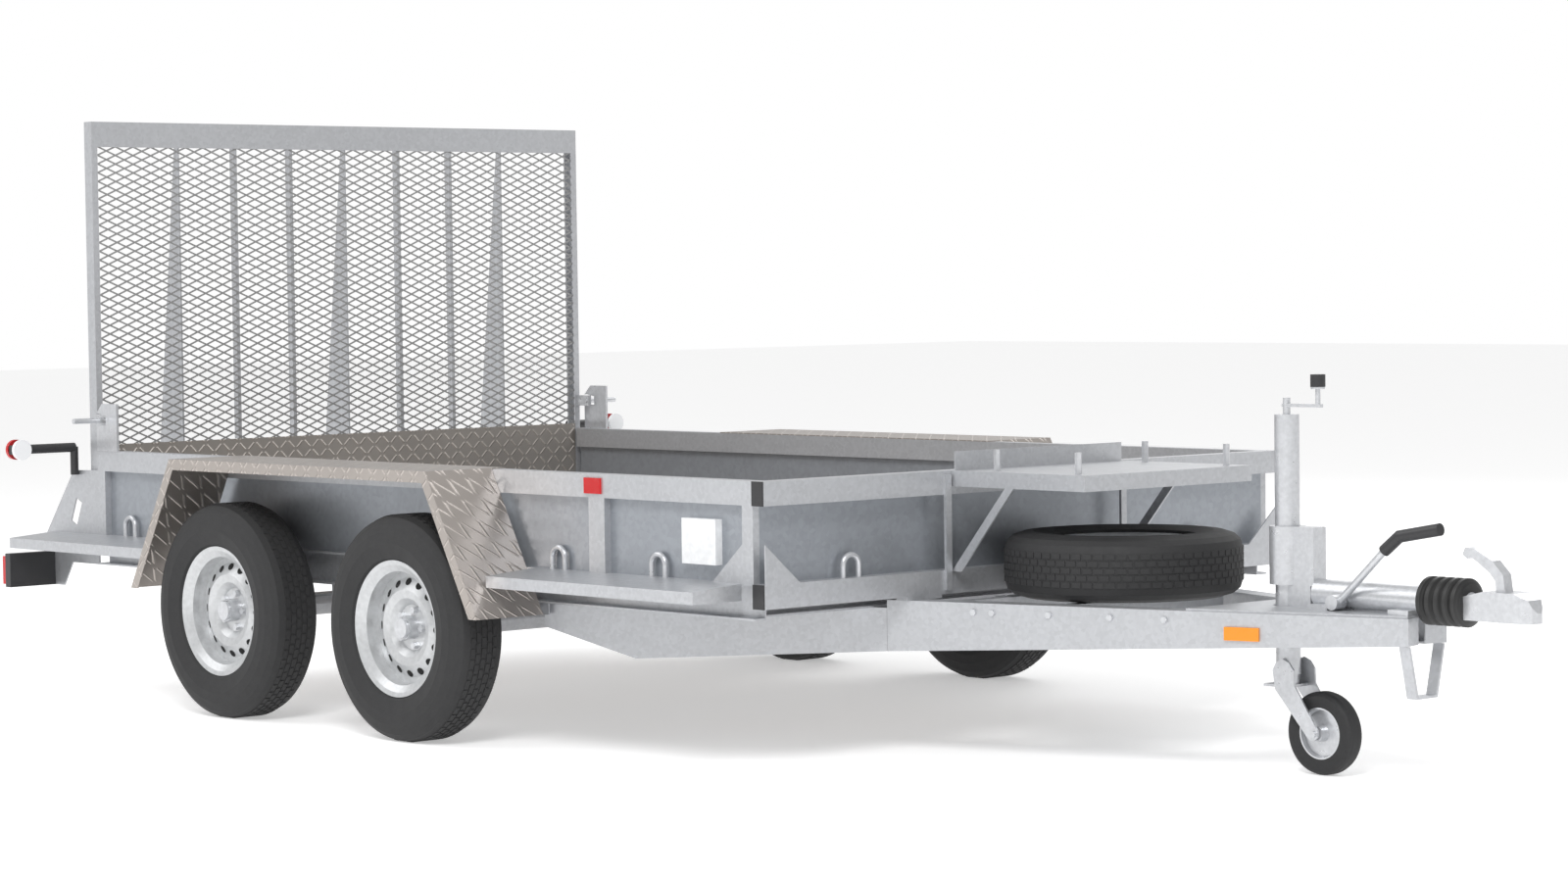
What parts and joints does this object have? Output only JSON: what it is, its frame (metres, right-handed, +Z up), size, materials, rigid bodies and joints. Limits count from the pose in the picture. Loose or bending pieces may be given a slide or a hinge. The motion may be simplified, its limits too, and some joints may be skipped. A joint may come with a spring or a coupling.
{
  "type": "tandem-axle equipment trailer with mesh loading ramp",
  "caption": "Braked tandem-axle plant trailer: low galvanised bed, tread-plate mudguards, upright mesh ramp, bucket rest, spare wheel and jockey wheel.",
  "frame": {"origin": "on the ground, on the centre line, midway between the coupling's tip and the tail's rear edge", "axes": "+X towards the coupling, +Y to the left, +Z up"},
  "size_m": [4.881, 2.326, 1.692],
  "materials": {
    "galvanised": "hot-dip galvanised, spangled",
    "tread_plate": "five-bar aluminium tread plate",
    "tyre": "black rubber",
    "rim": "silver paint",
    "black_rubber": "matt black",
    "lamp_red": "red lens"
  },
  "bodies": {
    "chassis": {"axle_front": "galvanised", "axle_rear": "galvanised", "bed_braces": "galvanised", "bed_panels": "galvanised", "bellows": "black_rubber", "brake_lever": "galvanised", "bucket_rest": "galvanised", "corner_gussets": "galvanised", "coupling_handle": "galvanised", "coupling_head": "galvanised", "cross_members": "galvanised", "drawbar_left": "galvanised", "drawbar_plates": "galvanised", "drawbar_right": "galvanised", "drawtube": "galvanised", "floor_plate": "tread_plate", "front_rails": "galvanised", "jockey_clamp": "galvanised", "lashing_hoops": "galvanised", "latch_catches": "galvanised", "leaf_springs": "galvanised", "ledges": "galvanised", "marker_arms": "black_rubber", "mudguard_left": "tread_plate", "mudguard_right": "tread_plate", "nose_skid": "galvanised", "overrun_housing": "galvanised", "rail_caps": "black_rubber", "rest_struts": "galvanised", "side_frame_left": "galvanised", "side_frame_right": "galvanised", "spare_clamp": "galvanised", "spare_rim": "rim", "spare_tyre": "tyre", "spring_hangers": "galvanised", "tail_board": "black_rubber", "tail_ears": "galvanised", "tail_lamps": "lamp_red"},
    "ramp": {"latch_pins": "galvanised", "ramp_frame": "galvanised", "ramp_hinge": "galvanised", "ramp_mesh": "galvanised", "ramp_ribs": "galvanised", "ramp_tread": "tread_plate"},
    "wheel_front_right": {"tyre_front_right": "tyre", "rim_front_right": "rim"},
    "wheel_front_left": {"tyre_front_left": "tyre", "rim_front_left": "rim"},
    "wheel_rear_right": {"tyre_rear_right": "tyre", "rim_rear_right": "rim"},
    "wheel_rear_left": {"tyre_rear_left": "tyre", "rim_rear_left": "rim"},
    "jockey_mast": {"jockey_tube": "galvanised", "jockey_crank": "galvanised"},
    "jockey_slider": {"jockey_leg": "galvanised"},
    "jockey_caster": {"jockey_fork": "galvanised"},
    "jockey_wheel": {"jockey_tyre": "tyre", "jockey_rim": "rim"}
  },
  "joints": [
    {"name": "ramp_hinge", "type": "hinge", "parent": "chassis", "child": "ramp", "pos_m": [-2.1865, 0, 0.425], "axis": [0, -1, 0], "range_deg": [0, 109.5]},
    {"name": "wheel_front_right_spin", "type": "hinge", "parent": "chassis", "child": "wheel_front_right", "pos_m": [-0.4045, -1.054, 0.298], "axis": [0, 1, 0], "continuous": true},
    {"name": "wheel_front_left_spin", "type": "hinge", "parent": "chassis", "child": "wheel_front_left", "pos_m": [-0.4045, 1.054, 0.298], "axis": [0, 1, 0], "continuous": true},
    {"name": "wheel_rear_right_spin", "type": "hinge", "parent": "chassis", "child": "wheel_rear_right", "pos_m": [-1.2345, -1.054, 0.298], "axis": [0, 1, 0], "continuous": true},
    {"name": "wheel_rear_left_spin", "type": "hinge", "parent": "chassis", "child": "wheel_rear_left", "pos_m": [-1.2345, 1.054, 0.298], "axis": [0, 1, 0], "continuous": true},
    {"name": "jockey_clamp_slide", "type": "slide", "parent": "chassis", "child": "jockey_mast", "axis": [0, 0, 1], "range_m": [0, 0.1]},
    {"name": "jockey_leg_slide", "type": "slide", "parent": "jockey_mast", "child": "jockey_slider", "axis": [0, 0, -1], "range_m": [0, 0.2]},
    {"name": "jockey_swivel", "type": "hinge", "parent": "jockey_slider", "child": "jockey_caster", "pos_m": [1.6945, 0, 0.2], "axis": [0, 0, 1], "continuous": true},
    {"name": "jockey_wheel_spin", "type": "hinge", "parent": "jockey_caster", "child": "jockey_wheel", "pos_m": [1.8065, 0, 0.1], "axis": [0, 1, 0], "continuous": true}
  ]
}
